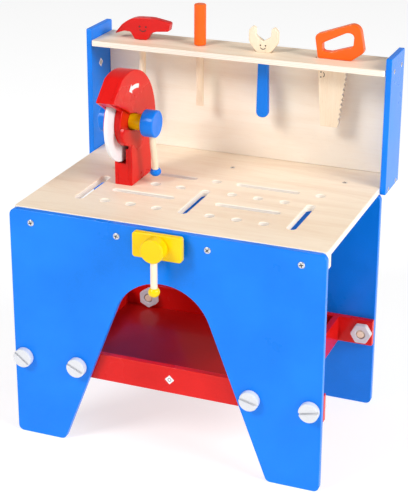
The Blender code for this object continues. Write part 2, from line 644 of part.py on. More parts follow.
def main():
    for obj in list(bpy.data.objects):
        bpy.data.objects.remove(obj)
    build_panels()
    build_tabletop()
    build_tray()
    build_backrest()
    build_fasteners()
    build_saw_body()
    build_saw_rotor()
    build_vise()
    build_hammer()
    build_screwdriver()
    build_wrench()
    build_handsaw()


main()
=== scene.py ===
"""Finished looks of the toy tool bench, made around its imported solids.

Metres, +Z up, X across the bench, +Y from the front panel to the backrest.
"""

import functools
import json
import math

import bmesh
import bpy
from bpy.props import FloatProperty, FloatVectorProperty, IntProperty, PointerProperty
from mathutils import Matrix, Vector


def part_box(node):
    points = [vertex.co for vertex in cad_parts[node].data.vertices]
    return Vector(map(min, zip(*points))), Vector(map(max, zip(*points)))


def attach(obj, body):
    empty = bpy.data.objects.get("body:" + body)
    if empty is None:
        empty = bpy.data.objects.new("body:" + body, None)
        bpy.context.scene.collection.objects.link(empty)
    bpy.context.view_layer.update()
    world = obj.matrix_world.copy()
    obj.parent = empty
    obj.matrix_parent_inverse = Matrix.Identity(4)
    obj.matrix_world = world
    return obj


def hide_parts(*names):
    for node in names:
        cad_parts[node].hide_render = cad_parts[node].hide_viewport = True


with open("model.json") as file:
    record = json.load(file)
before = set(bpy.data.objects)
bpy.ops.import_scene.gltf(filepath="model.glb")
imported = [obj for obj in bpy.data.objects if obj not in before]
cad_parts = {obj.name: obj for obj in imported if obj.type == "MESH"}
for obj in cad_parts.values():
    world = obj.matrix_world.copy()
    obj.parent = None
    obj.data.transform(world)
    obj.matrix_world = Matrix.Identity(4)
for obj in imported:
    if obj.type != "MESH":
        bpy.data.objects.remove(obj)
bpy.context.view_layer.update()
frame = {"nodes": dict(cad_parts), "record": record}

bl_info = {
    "name": "Toy Tool Bench Looks",
    "version": (1, 0, 0),
    "blender": (4, 5, 0),
    "location": "3D View > Sidebar > Tool Bench",
    "description": "Makes the finished pieces of a wooden toy tool bench",
    "category": "Object",
}

BODY_OF = {node: body for body, nodes in frame["record"]["behaviour"]["bodies"].items()
           for node in nodes}

# Lengths in metres. "In" is the distance to the rear from the front panel's face.
MERGE = 1e-6                    # points nearer than this are one
CREASE_EASED = 38               # degrees past which an edge is rounded over
CREASE_SHADED = 42              # degrees past which an edge is shaded sharp
PLY = 0.0031                    # thickness of one ply of the plywood
BOARD_CORNER = 0.004            # corner radius of the worktop and the shelf
PEG_HOLE = 0.0085               # radius of the worktop's round holes
PEG_PITCH = 0.048               # between neighbouring holes of a row
PEG_BAY = 0.096                 # from the middle of the bench to the middle of a row
PEG_ROWS_IN = (0.0915, 0.1995)
CROSS_SLOTS_IN = (0.146, 0.251)
CROSS_SLOT = (0.007, 0.051)     # end radius, and half the way between the ends' centres
LONG_SLOT = (0.00775, 0.05275)
LONG_SLOTS_X, LONG_SLOTS_IN, REAR_HOLES_IN = (-0.192, 0.0, 0.192), 0.1435, 0.251
HANDSAW_SLOT_X = 0.171
REAR_SCREWS_X, REAR_SCREWS_IN = (-0.212, 0.0, 0.212), 0.331
SIDE_SCREW_SHARES, SIDE_SCREW_HEIGHTS = (0.22, 0.78), (0.634, 0.419)
NUT_CORNER = 0.0022             # corner radius of a toy nut
PANEL_SCREW = (0.0058, 0.0017)  # radius and height of a panel screw's head
PANEL_SCREW_SHANK = 0.0021      # radius
AXLE, AXLE_BORE = 0.006, 0.0063
BLADE, HUB, SPACER = 0.0735, 0.0445, 0.014      # radii of what the saw's axle carries
SAW_KNOB, SAW_KNOB_DISH, DISH_DEPTH = 0.024, 0.0195, 0.0006
VISE_KNOB, VISE_THREAD, VISE_GUIDE = 0.0205, 0.007, 0.004
HAMMER_HANDLE, DRIVER_GRIP, DRIVER_SHAFT = 0.0065, 0.011, 0.007
BOLT_HEAD_HEIGHT = 0.012
STICKER_HALF, STICKER_CORNER = 0.0085, 0.0006


# ---- what a user would change

def colour(name, description, value):
    """A linear colour in the panel."""
    return FloatVectorProperty(name=name, description=description, default=value,
                               subtype="COLOR", min=0.0, max=1.0)


def amount(name, description, value, unit="NONE", precision=2):
    """A number in the panel that isn't below zero."""
    return FloatProperty(name=name, description=description, default=value,
                         unit=unit, min=0.0, precision=precision)


def length(name, description, value):
    """A length in the panel."""
    return amount(name, description, value, "LENGTH", 4)


class BenchColours(bpy.types.PropertyGroup):
    """Linear colours of the paints, woods and prints."""
    blue: colour("Blue", "Paint of the panels, side boards and knobs", (0.0, 0.215, 0.90))
    red: colour("Red", "Paint of the tray, saw and hammer", (0.72, 0.005, 0.003))
    # The tray's floor has the same red paint as the tray; this darker red is painted shade for
    # the shadow inside the tray.
    inner_red: colour("Inner red", "Thinner paint of the tray's floor",
                      (0.40, 0.002, 0.001))
    yellow: colour("Yellow", "Paint of the vise", (1.0, 0.66, 0.0))
    orange: colour("Orange", "Paint of the saw grip and screwdriver", (0.93, 0.13, 0.004))
    white: colour("White", "Paint of the saw blade", (0.86, 0.86, 0.88))
    bolt: colour("Bolt white", "Paint of the toy bolts and nuts", (0.72, 0.73, 0.76))
    birch: colour("Birch", "Light part of the plywood's face", (0.98, 0.84, 0.66))
    birch_streak: colour("Birch streak", "Dark part of the plywood's face", (0.80, 0.58, 0.39))
    # Back birch and back streak are the worktop's birch made paler, as painted light on the
    # back board where the shelf shades it.
    back_birch_painted_light: colour("Back birch", "Light part of the back board's face", (1.0, 0.92, 0.79))
    back_streak_painted_light: colour("Back streak", "Dark part of the back board's face", (0.92, 0.78, 0.62))
    # Ply edge: the plies' own pale tone, lifted near white as a painted highlight on the
    # boards' edges.
    ply: colour("Ply edge", "Sanded edges of the plywood", (0.95, 0.87, 0.75))
    beech: colour("Beech", "Light part of dowels and tool blades", (0.97, 0.84, 0.66))
    beech_streak: colour("Beech streak", "Dark part of dowels and tool blades",
                         (0.80, 0.59, 0.38))
    steel: colour("Steel", "Screws", (0.80, 0.80, 0.82))
    ink: colour("Ink", "Printed faces", (0.018, 0.014, 0.012))


class BenchSizes(bpy.types.PropertyGroup):
    """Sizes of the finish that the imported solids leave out."""
    board_edge: length("Board edge", "Radius of the boards' eased edges", 0.0015)
    top_edge: length("Top edge", "Radius of the worktop's edges and hole rims", 0.0020)
    tool_edge: length("Tool edge", "Radius of the tools' eased edges", 0.0016)
    rim_edge: length("Rim edge", "Radius of turned rims", 0.0022)
    bolt_edge: length("Bolt edge", "Radius of the toy bolts' rims", 0.0015)
    bolt_head: length("Bolt head", "Radius of a toy bolt's head", 0.0170)
    bolt_shank: length("Bolt shank", "Radius of a toy bolt's shank", 0.0080)
    slot_width: length("Slot width", "Width of a toy bolt's slot", 0.0048)
    slot_depth: length("Slot depth", "Depth of a toy bolt's slot", 0.0045)
    nut_flats: length("Nut", "Width of a toy nut over its flats", 0.0340)
    thread_pitch: length("Thread pitch", "Pitch of the wooden threads", 0.0040)
    thread_depth: length("Thread depth", "Depth of the wooden threads", 0.0011)
    bar: length("Bar", "Radius of the crank and vise bars", 0.0058)
    screw_head: length("Screw head", "Radius of a small wood screw's head", 0.0046)
    print_height: length("Print height", "How far prints stand proud", 0.00025)
    steps: IntProperty(name="Turned steps", description="Facets round a turned piece",
                       default=64, min=12, max=128)


class BenchStage(bpy.types.PropertyGroup):
    """Lamps, floor and camera."""
    key_power: amount("Key", "Power of the lamp at the front left", 242.0, "POWER")
    side_power: amount("Side", "Power of the lamp at the right", 205.0, "POWER")
    horizon: amount("Horizon", "Strength of the surround low down", 0.82)
    sky: amount("Sky", "Strength of the surround overhead", 0.26)
    floor: colour("Floor", "Colour of the floor", (0.50, 0.50, 0.50))
    floor_glow: amount("Floor glow", "Light given off by the floor", 0.66)
    camera_place: FloatVectorProperty(name="Camera place", description="Where the camera is",
                                      default=(0.8443, -2.1471, 1.2845), subtype="TRANSLATION",
                                      unit="LENGTH")
    camera_turn: FloatVectorProperty(name="Camera turn",
                                     description="Camera's azimuth, elevation and roll",
                                     default=tuple(map(math.radians, (21.448, 20.281, 0.246))),
                                     subtype="EULER", unit="ROTATION")
    lens: FloatProperty(name="Lens", description="Focal length on a 36 mm sensor",
                        default=102.74, min=1.0, unit="CAMERA")
    shift: FloatProperty(name="Shift", description="Vertical shift of the lens",
                         default=-0.1177)


GROUPS = {"bench_colours": BenchColours, "bench_sizes": BenchSizes, "bench_stage": BenchStage}


def colours():
    """The colours in use."""
    return bpy.context.scene.bench_colours


def sizes():
    """The sizes in use."""
    return bpy.context.scene.bench_sizes


# ---- materials

def add(tree, kind, inputs=None, **settings):
    """A shader node with its settings, and values or links on its inputs."""
    made = tree.nodes.new("ShaderNode" + kind)
    for key, value in settings.items():
        setattr(made, key, value)
    for key, value in (inputs or {}).items():
        if isinstance(value, bpy.types.NodeSocket):
            tree.links.new(value, made.inputs[key])
        else:
            made.inputs[key].default_value = value
    return made


def maths(tree, operation, one, two=0.0):
    """One step of arithmetic on two values."""
    return add(tree, "Math", {0: one, 1: two}, operation=operation).outputs[0]


def blend(tree, share, one, two, kind="MIX"):
    """Mix of two colours by a share."""
    made = add(tree, "Mix", data_type="RGBA", blend_type=kind)
    for socket, value in ((0, share), (6, one), (7, two)):
        if isinstance(value, bpy.types.NodeSocket):
            tree.links.new(value, made.inputs[socket])
        else:
            made.inputs[socket].default_value = value if socket == 0 else (*value, 1.0)
    return made.outputs[2]


def stretched_noise(tree, scale, detail=3.0, roughness=0.55, distortion=0.0, place=(0, 0, 0)):
    """Noise on object coordinates, with its own frequency along each axis."""
    where = add(tree, "TexCoord").outputs["Object"]
    mapped = add(tree, "Mapping", {"Vector": where, "Scale": scale, "Location": place})
    return add(tree, "TexNoise", {"Vector": mapped.outputs[0], "Scale": 1.0, "Detail": detail,
                                  "Roughness": roughness, "Distortion": distortion}).outputs[0]


def spread(tree, value, low, high, to_low=0.0, to_high=1.0):
    """Stretch a band of values over another range."""
    return add(tree, "MapRange", {"Value": value, "From Min": low, "From Max": high,
                                  "To Min": to_low, "To Max": to_high}).outputs[0]


def new_material(name, **sockets):
    """A material with its principled shader, and plain values on the shader's sockets."""
    made = bpy.data.materials.new(name)
    made.use_nodes = True
    tree = made.node_tree
    shader = tree.nodes["Principled BSDF"]
    for key, value in sockets.items():
        shader.inputs[key.replace("_", " ")].default_value = value
    return made, tree, shader


def dress(tree, shader, tint, rough, height, distance):
    """Link a colour, a roughness and a height, standing out by a distance, to the shader."""
    tree.links.new(tint, shader.inputs["Base Color"])
    tree.links.new(rough, shader.inputs["Roughness"])
    bump = add(tree, "Bump", {"Height": height, "Strength": 1.0, "Distance": distance})
    tree.links.new(bump.outputs[0], shader.inputs["Normal"])


def darker(tint, share):
    """A share of a colour."""
    return tuple(share * c for c in tint)


def along(axis, with_grain, across):
    """Noise scale that is long in one direction and fine in the other two."""
    return tuple(with_grain if letter == axis else across for letter in "XYZ")


def once(make):
    """Let a material be made the first time that its name is asked for, and found later."""
    @functools.wraps(make)
    def found_or_made(name, *details):
        return bpy.data.materials.get(name) or make(name, *details)
    return found_or_made


@once
def satin_paint(name, tint, gloss):
    """Sprayed paint on sanded wood: faint cloudiness, orange peel and grain under the coat."""
    made, tree, shader = new_material(name, Coat_Weight=0.18, Coat_Roughness=0.10)
    shader.inputs["Specular IOR Level"].default_value = 0.16
    cloud = stretched_noise(tree, (7, 7, 7), detail=4)
    fine = stretched_noise(tree, (420, 420, 420), detail=2)
    dark = darker(tint, 0.86)
    pale = tuple(min(1.0, 1.03 * c + 0.004) for c in tint)
    base = blend(tree, spread(tree, cloud, 0.32, 0.68), dark, pale)
    speck = spread(tree, fine, 0.3, 0.7, 0.97, 1.03)
    shade = add(tree, "CombineColor", {0: speck, 1: speck, 2: speck}).outputs[0]
    rough = spread(tree, cloud, 0.3, 0.7, gloss - 0.05, gloss + 0.07)
    grain = stretched_noise(tree, along("X", 9, 260), detail=4, roughness=0.6)
    height = maths(tree, "ADD", maths(tree, "MULTIPLY", grain, 0.8),
                   maths(tree, "MULTIPLY", fine, 0.35))
    dress(tree, shader, blend(tree, 1.0, base, shade, "MULTIPLY"), rough, height, 0.00008)
    return made


def wood_face(tree, light, dark, axis, fleck):
    """Colour and height of sanded wood: broad streaks, fibres and small flecks."""
    streak = stretched_noise(tree, along(axis, 3.0, 19), detail=5, roughness=0.62,
                             distortion=0.7)
    fibre = stretched_noise(tree, along(axis, 26, 900), detail=3)
    share = maths(tree, "ADD", spread(tree, streak, 0.42, 0.80, 0.0, 0.72),
                  spread(tree, fibre, 0.3, 0.75, 0.0, 0.26))
    base = blend(tree, share, light, dark)
    dash = stretched_noise(tree, along(axis, 110, 900), detail=1, place=(3, 5, 7))
    dashes = spread(tree, dash, 0.66, 0.74, 0.0, fleck)
    base = blend(tree, dashes, base, darker(dark, 0.55))
    return base, maths(tree, "SUBTRACT", fibre, maths(tree, "MULTIPLY", dashes, 0.6))


@once
def plywood(name, thickness, foot, light, dark):
    """Birch plywood with grain along X and plies on its edges; thickness is an axis number."""
    made, tree, shader = new_material(name, Coat_Weight=0.10, Coat_Roughness=0.28)
    face, height = wood_face(tree, light, dark, "X", 0.10)
    where = add(tree, "TexCoord")
    level = add(tree, "SeparateXYZ", {0: where.outputs["Object"]}).outputs[thickness]
    facing = add(tree, "SeparateXYZ", {0: where.outputs["Normal"]}).outputs[thickness]
    layer = maths(tree, "FRACT", maths(tree, "DIVIDE", maths(tree, "SUBTRACT", level, foot),
                                       PLY))
    band = maths(tree, "SMOOTH_MIN", maths(tree, "MULTIPLY", layer, 4.0),
                 maths(tree, "MULTIPLY", maths(tree, "SUBTRACT", 1.0, layer), 4.0))
    plies = spread(tree, band, 0.55, 1.25)
    # Edge faces take the near-white ply colour: partly the plies' own tone, partly a painted
    # highlight.
    edge = blend(tree, plies, darker(colours().ply, 0.88), colours().ply)
    on_edge = spread(tree, maths(tree, "ABSOLUTE", facing), 0.62, 0.80, 1.0, 0.0)
    dress(tree, shader, blend(tree, on_edge, face, edge),
          spread(tree, height, 0.2, 0.8, 0.42, 0.56), height, 0.00012)
    return made


def beech(axis):
    """Solid beech with its grain along an axis."""
    return beech_finish(f"beech_along_{axis.lower()}", axis)


@once
def beech_finish(name, axis):
    """Streaked colour and fine bump of sanded beech."""
    made, tree, shader = new_material(name, Coat_Weight=0.12, Coat_Roughness=0.25)
    base, height = wood_face(tree, colours().beech, colours().beech_streak, axis, 0.22)
    dress(tree, shader, base, spread(tree, height, 0.2, 0.8, 0.40, 0.55), height, 0.00010)
    return made


@once
def steel(name):
    """Zinc-plated steel with fine uneven polish."""
    made, tree, shader = new_material(name, Metallic=1.0)
    rub = stretched_noise(tree, (900, 900, 900), detail=3)
    tone = colours().steel
    dress(tree, shader, blend(tree, rub, darker(tone, 0.8), tone),
          spread(tree, rub, 0.3, 0.7, 0.22, 0.40), rub, 0.00004)
    return made


@once
def flat_print_and_shade(name, tint):
    """Screen-print ink, sticker paper, and the near-black painted shade in the screws'
    recesses; a little uneven.
    """
    made, tree, shader = new_material(name, Roughness=0.5)
    grain = stretched_noise(tree, (1500, 1500, 1500), detail=2)
    tree.links.new(blend(tree, grain, darker(tint, 0.9), tint), shader.inputs["Base Color"])
    return made


def paint_for(slot):
    """The paint finish that goes with one of the record's paint slots."""
    tint = getattr(colours(), slot.split("_")[0])
    gloss = {"red_paint": 0.26, "white_paint": 0.34}.get(slot, 0.30)
    return satin_paint(slot + "_finish", tint, gloss)


# ---- shapes

def creases(bm, degrees):
    """Edges whose faces meet at more than an angle."""
    return [edge for edge in bm.edges if edge.is_manifold
            and edge.calc_face_angle(0.0) > math.radians(degrees)]


def round_edges(bm, edges, radius, steps, clamp=False):
    """Round over edges of a solid."""
    bmesh.ops.bevel(bm, geom=edges, offset=radius, segments=steps, profile=0.5,
                    affect="EDGES", material=-1, clamp_overlap=clamp)


def round_points(bm, points, radius, steps):
    """Round over corners of a flat wire."""
    bmesh.ops.bevel(bm, geom=points, offset=radius, segments=steps, profile=0.5,
                    affect="VERTICES", material=-1)


def soften(bm, radius, steps=3, wanted=None):
    """Round over the sharp edges, or those of them that a test picks."""
    sharp = [edge for edge in creases(bm, CREASE_EASED) if wanted is None or wanted(edge)]
    round_edges(bm, sharp, radius, steps)


def only(items, kind):
    """The vertices or the edges of an operator's result."""
    return [item for item in items if isinstance(item, kind)]


def thicken(bm, thickness):
    """Extrude flat faces along +Z into a closed shape."""
    grown = bmesh.ops.extrude_face_region(bm, geom=bm.faces[:], use_keep_orig=True)
    bmesh.ops.translate(bm, verts=only(grown["geom"], bmesh.types.BMVert),
                        vec=(0, 0, thickness))


def to_mesh(bm, name):
    """Turn a bmesh into a mesh, and free it."""
    mesh = bpy.data.meshes.new(name)
    bm.to_mesh(mesh)
    bm.free()
    return mesh


def join(bm, other):
    """Add another bmesh to this one."""
    mesh = to_mesh(other, "blank")
    bm.from_mesh(mesh)
    bpy.data.meshes.remove(mesh)


def packed_copy(node):
    """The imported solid's surface, merged into whole faces."""
    bm = bmesh.new()
    bm.from_mesh(frame["nodes"][node].data)
    bmesh.ops.remove_doubles(bm, verts=bm.verts[:], dist=2e-6)
    bmesh.ops.dissolve_limit(bm, angle_limit=math.radians(0.6), verts=bm.verts[:],
                             edges=bm.edges[:])
    return bm


def finish_piece(bm, name, finish, body, nodes=()):
    """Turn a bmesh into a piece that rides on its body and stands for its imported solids."""
    bmesh.ops.recalc_face_normals(bm, faces=bm.faces[:])
    for face in bm.faces:
        face.smooth = True
    for edge in bm.edges:
        edge.smooth = (edge.is_manifold
                       and edge.calc_face_angle(0.0) < math.radians(CREASE_SHADED))
    mesh = to_mesh(bm, name)
    for each in finish if isinstance(finish, (list, tuple)) else [finish]:
        mesh.materials.append(each)
    piece = bpy.data.objects.new(name, mesh)
    bpy.context.scene.collection.objects.link(piece)
    even = piece.modifiers.new("even shading", "WEIGHTED_NORMAL")
    even.keep_sharp = True
    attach(piece, body)
    if nodes:
        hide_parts(*nodes)
    return piece


def board(node, slot, radius=None, finish=None, wanted=None, steps=3):
    """A packed board with its edges eased."""
    bm = packed_copy(node)
    soften(bm, radius or sizes().board_edge, steps, wanted)
    return finish_piece(bm, node + "_finished", finish or paint_for(slot),
                        BODY_OF[node], [node])


def to_place(foot, direction):
    """Matrix that stands a shape made along +Z on a point, along a direction."""
    turn = Vector(direction).to_track_quat("Z", "X").to_matrix().to_4x4()
    return Matrix.Translation(foot) @ turn


def stand(bm, node, finish, place):
    """Move a shape made along +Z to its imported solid's place, and finish it."""
    bm.transform(place)
    finish_piece(bm, node + "_finished", finish, BODY_OF[node], [node])


def turned(profile, ease=0.0, steps=None, rounding=4):
    """A closed turned shape about +Z from (radius, height) points, with eased rims."""
    bm = bmesh.new()
    points = [bm.verts.new((radius, 0, height)) for radius, height in profile]
    for pair in zip(points, points[1:]):
        bm.edges.new(pair)
    rims = [point for point in points[1:-1] if point.co.x > MERGE]
    if ease:
        round_points(bm, rims, ease, rounding)
    bmesh.ops.spin(bm, geom=bm.verts[:] + bm.edges[:], cent=(0, 0, 0), axis=(0, 0, 1),
                   angle=2 * math.pi, steps=steps or sizes().steps, use_merge=True)
    bmesh.ops.remove_doubles(bm, verts=bm.verts[:], dist=MERGE)
    return bm


def cylinder(radius, height, ease=0.0, steps=None, rounding=4, foot=0.0):
    """A solid cylinder about +Z with eased rims."""
    return turned([(0, foot), (radius, foot), (radius, height), (0, height)], ease, steps,
                  rounding)


def add_thread(bm, crest, low, high):
    """A helical ridge about +Z, closed at both ends, from one height to another."""
    pitch, depth = sizes().thread_pitch, sizes().thread_depth
    steps = 20
    turns = (high - low) / pitch - 1.0
    root = crest - depth - 0.0004
    corners = [bm.verts.new((radius, 0, low + rise * pitch))
               for radius, rise in ((root, 0.06), (crest, 0.42), (crest, 0.58), (root, 0.94))]
    first = [bm.edges.new(pair) for pair in zip(corners, corners[1:] + corners[:1])]
    count = max(1, round(steps * turns))
    spun = bmesh.ops.spin(bm, geom=corners + first, cent=(0, 0, 0), axis=(0, 0, 1),
                          angle=2 * math.pi * count / steps, steps=count,
                          dvec=(0, 0, pitch / steps))
    for end in (first, only(spun["geom_last"], bmesh.types.BMEdge)):
        bmesh.ops.edgeloop_fill(bm, edges=end)


def wire(bm, corners):
    """A closed wire from (a, b, radius) corners in the XY plane, with rounded corners."""
    verts = [bm.verts.new((a, b, 0)) for a, b, _ in corners]
    for pair in zip(verts, verts[1:] + verts[:1]):
        bm.edges.new(pair)
    for vert, (_, _, radius) in zip(verts, corners):
        if radius:
            round_points(bm, [vert], radius, 6)


def ring(bm, centre, radius, reach=(0.0, 0.0), steps=40):
    """A round hole's wire, or a slot's when its halves are moved apart."""
    made = bmesh.ops.create_circle(bm, cap_ends=False, segments=steps, radius=radius,
                                   matrix=Matrix.Rotation(math.pi / steps, 4, "Z"))["verts"]
    for vert in made:
        shift = [math.copysign(far, here) for far, here in zip(reach, vert.co)]
        vert.co += Vector((centre[0] + shift[0], centre[1] + shift[1], 0))


def plate(bm, thickness, radius, steps=3):
    """Fill flat wires, thicken them along +Z and ease the edges."""
    bmesh.ops.triangle_fill(bm, use_beauty=True, use_dissolve=False, edges=bm.edges[:])
    bmesh.ops.dissolve_limit(bm, angle_limit=math.radians(0.5), verts=[], edges=bm.edges[:])
    thicken(bm, thickness)
    bmesh.ops.recalc_face_normals(bm, faces=bm.faces[:])
    if radius:
        soften(bm, radius, steps)


def carved(bm, cutter):
    """A bmesh with another one cut out of it."""
    blanks = []
    for each in (bm, cutter):
        bmesh.ops.recalc_face_normals(each, faces=each.faces[:])
        blanks.append(bpy.data.objects.new("blank", to_mesh(each, "blank")))
        bpy.context.scene.collection.objects.link(blanks[-1])
    cut = blanks[0].modifiers.new("cut", "BOOLEAN")
    cut.operation, cut.solver, cut.object = "DIFFERENCE", "EXACT", blanks[1]
    bpy.context.view_layer.update()
    graph = bpy.context.evaluated_depsgraph_get()
    result = bmesh.new()
    result.from_mesh(blanks[0].evaluated_get(graph).to_mesh())
    for blank in blanks:
        bpy.data.objects.remove(blank)
    return result


def middle(node):
    """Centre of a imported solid's box."""
    low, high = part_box(node)
    return (low + high) / 2


def panel_face():
    """Where the front panel's outside is along Y."""
    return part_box("front_panel")[0].y


def holed_board(node, finish, edge, steps, cut_holes):
    """A flat birch board with its front corners rounded, and the holes that a function cuts."""
    low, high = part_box(node)
    bm = bmesh.new()
    wire(bm, [(low.x, low.y, BOARD_CORNER), (high.x, low.y, BOARD_CORNER),
              (high.x, high.y, 0), (low.x, high.y, 0)])
    cut_holes(bm)
    plate(bm, high.z - low.z, edge, steps)
    bmesh.ops.translate(bm, verts=bm.verts[:], vec=(0, 0, low.z))
    finish_piece(bm, node + "_finished",
                 plywood(finish, 2, low.z, colours().birch, colours().birch_streak),
                 BODY_OF[node], [node])


# ---- operators

class BENCH_OT_boards(bpy.types.Operator):
    """Make the painted panels and side boards and the birch boards of the bench"""
    bl_idname = "bench.boards"
    bl_label = "Boards"

    def execute(self, context):
        for node in ("front_panel", "rear_panel", "left_side_board", "right_side_board"):
            board(node, "blue_paint")
        for node in ("front_batten", "rear_batten"):
            board(node, "beech", finish=beech("X"))
        # The back board's plywood takes the paler birch as painted light.
        board("back_board", "plywood", 0.0008,
              plywood("back_plywood", 1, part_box("back_board")[0].y, colours().back_birch_painted_light,
                      colours().back_streak_painted_light))
        holed_board("tabletop", "top_plywood", sizes().top_edge, 4, self.peg_holes)
        holed_board("tool_shelf", "shelf_plywood", 0.0011, 3, self.tool_holes)
        return {"FINISHED"}

    def peg_holes(self, bm):
        """The worktop's round holes and long slots."""
        face = panel_face()
        for side in (-1, 1):
            for depth in PEG_ROWS_IN:
                for k in (-1, 0, 1):
                    ring(bm, (side * PEG_BAY + k * PEG_PITCH, face + depth), PEG_HOLE)
            for depth in CROSS_SLOTS_IN:
                ring(bm, (side * PEG_BAY, face + depth), CROSS_SLOT[0], (CROSS_SLOT[1], 0.0))
        for x in LONG_SLOTS_X:
            ring(bm, (x, face + LONG_SLOTS_IN), LONG_SLOT[0], (0.0, LONG_SLOT[1]))
            ring(bm, (x, face + REAR_HOLES_IN), PEG_HOLE)

    def tool_holes(self, bm):
        """The shelf's holes that the tools hang in."""
        wrench = middle("wrench")
        for x, radius, reach in ((middle("hammer_handle").x, 0.008, 0.0),
                                 (middle("screwdriver_shaft").x, 0.0085, 0.0),
                                 (wrench.x, 0.007, 0.010),
                                 (HANDSAW_SLOT_X, 0.0055, 0.0255)):
            ring(bm, (x, wrench.y), radius, (reach, 0.0))


class BENCH_OT_tray(bpy.types.Operator):
    """Make the red tray between the panels"""
    bl_idname = "bench.tray"
    bl_label = "Tray"

    def execute(self, context):
        for node in ("tray_front_rail", "tray_rear_rail", "tray_left_end", "tray_right_end"):
            board(node, "red_paint", 0.0012)
        # The tray's floor takes the darker red as painted shade.
        inner = satin_paint("inner_red_finish", colours().inner_red, 0.36)
        board("tray_floor", "red_paint", 0.0006, inner, steps=2)
        return {"FINISHED"}


class BENCH_OT_toy_bolts(bpy.types.Operator):
    """Make the white slotted toy bolts and their hexagon nuts"""
    bl_idname = "bench.toy_bolts"
    bl_label = "Toy Bolts"

    tilts = {"front": (-37, -26, -13.5, 13), "rear": (15, 40, 65, 90)}

    def execute(self, context):
        for row, inward in (("front", 1), ("rear", -1)):
            for number in range(4):
                self.bolt(f"{row}_bolt_{number + 1}", inward, self.tilts[row][number])
                self.nut(f"{row}_nut_{number + 1}")
        return {"FINISHED"}

    def paint(self):
        """White paint, a little greyer than the saw blade's."""
        return satin_paint("bolt_finish", colours().bolt, 0.34)

    def bolt(self, node, inward, tilt):
        """One bolt: a rimmed head with a slot, and a threaded shank of bare beech."""
        size = sizes()
        centre, (low, high) = middle(node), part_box(node)
        head, shank, thick = size.bolt_head, size.bolt_shank, BOLT_HEAD_HEIGHT
        span = high.y - low.y
        core = shank - size.thread_depth
        bm = cylinder(head, thick, size.bolt_edge)
        cutter = bmesh.new()
        bmesh.ops.create_cube(cutter, size=1.0)
        bmesh.ops.scale(cutter, verts=cutter.verts[:],
                        vec=(3 * head, size.slot_width, 2 * size.slot_depth))
        bmesh.ops.rotate(cutter, verts=cutter.verts[:], cent=(0, 0, 0),
                         matrix=Matrix.Rotation(math.radians(-tilt), 3, "Z"))
        bm = carved(bm, cutter)
        mouth = [edge for edge in creases(bm, 40)
                 if min(vert.co.z for vert in edge.verts) < size.slot_depth * 0.9]
        round_edges(bm, mouth, 0.0006, 2, clamp=True)
        heads = set(bm.faces)
        rod = turned([(0, thick - 0.001), (core, thick - 0.001), (core, span - 0.001),
                      (core - 0.001, span), (0, span)], steps=40)
        add_thread(rod, shank - 0.0001, thick + 0.013, span + 0.0005)
        join(bm, rod)
        for face in bm.faces:
            face.material_index = 0 if face in heads else 1
        start = low.y if inward > 0 else high.y
        place = to_place((centre.x, start, centre.z), (0, inward, 0))
        tilt = math.radians(tilt)
        turn = place.to_3x3().inverted() @ Vector((math.cos(tilt), 0, math.sin(tilt)))
        now = Vector((math.cos(-tilt), math.sin(-tilt), 0))
        fix = math.atan2(turn.y, turn.x) - math.atan2(now.y, now.x)
        stand(bm, node, [self.paint(), beech("Y")],
              place @ Matrix.Rotation(fix, 4, "Z"))

    def nut(self, node):
        """One hexagon nut with eased corners and a round hole."""
        size = sizes()
        centre, (low, high) = middle(node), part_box(node)
        bm = bmesh.new()
        spots = [vert.co - centre for vert in frame["nodes"][node].data.vertices]
        corner = max(spots, key=lambda spot: math.hypot(spot.x, spot.z))
        turn = math.atan2(corner.x, -corner.z)
        bmesh.ops.create_circle(bm, cap_ends=False, segments=6,
                                radius=size.nut_flats / math.sqrt(3),
                                matrix=Matrix.Rotation(turn, 4, "Z"))
        for vert in bm.verts[:]:
            round_points(bm, [vert], NUT_CORNER, 4)
        ring(bm, (0, 0), size.bolt_shank + 0.0004)
        plate(bm, high.y - low.y, 0.0014, 3)
        stand(bm, node, self.paint(),
              Matrix.Translation((centre.x, high.y, centre.z))
              @ Matrix.Rotation(math.pi / 2, 4, "X"))


def cross_screw(foot, direction, radius, thick, turn=0.0):
    """A cross-head screw head as one bmesh: a countersunk disc with a cross-shaped recess."""
    bm = bmesh.new()
    arm, half = 0.62 * radius, 0.15 * radius
    corners = [(*(Matrix.Rotation(quarter * math.pi / 2 + turn, 2) @ Vector(corner)), 0)
               for quarter in range(4)
               for corner in ((half, half), (arm, half), (arm, -half))]
    wire(bm, sorted(corners, key=lambda corner: math.atan2(corner[1], corner[0])))
    ring(bm, (0, 0), radius * 0.72, steps=28)
    plate(bm, thick * 0.55, 0)
    bmesh.ops.translate(bm, verts=bm.verts[:], vec=(0, 0, thick * 0.45))
    skirt = turned([(0, 0), (radius, 0), (radius, thick * 0.35), (radius * 0.80, thick * 0.98),
                    (radius * 0.70, thick * 0.98), (radius * 0.70, thick * 0.50),
                    (0, thick * 0.50)], steps=28)
    join(bm, skirt)
    # Faces inside the cross recess take the second finish, near-black as painted shade.
    for face in bm.faces:
        spot = face.calc_center_median()
        inside = math.hypot(spot.x, spot.y) < 0.65 * radius
        face.material_index = int(inside and 0.4 * thick < spot.z < 0.97 * thick)
    bm.transform(to_place(foot, direction))
    return bm


def screw_finish():
    """Plated steel for the head, and a near-black, rough finish in the recess as painted shade.
    """
    return [steel("screw_steel"), flat_print_and_shade("screw_recess", (0.03, 0.03, 0.035))]


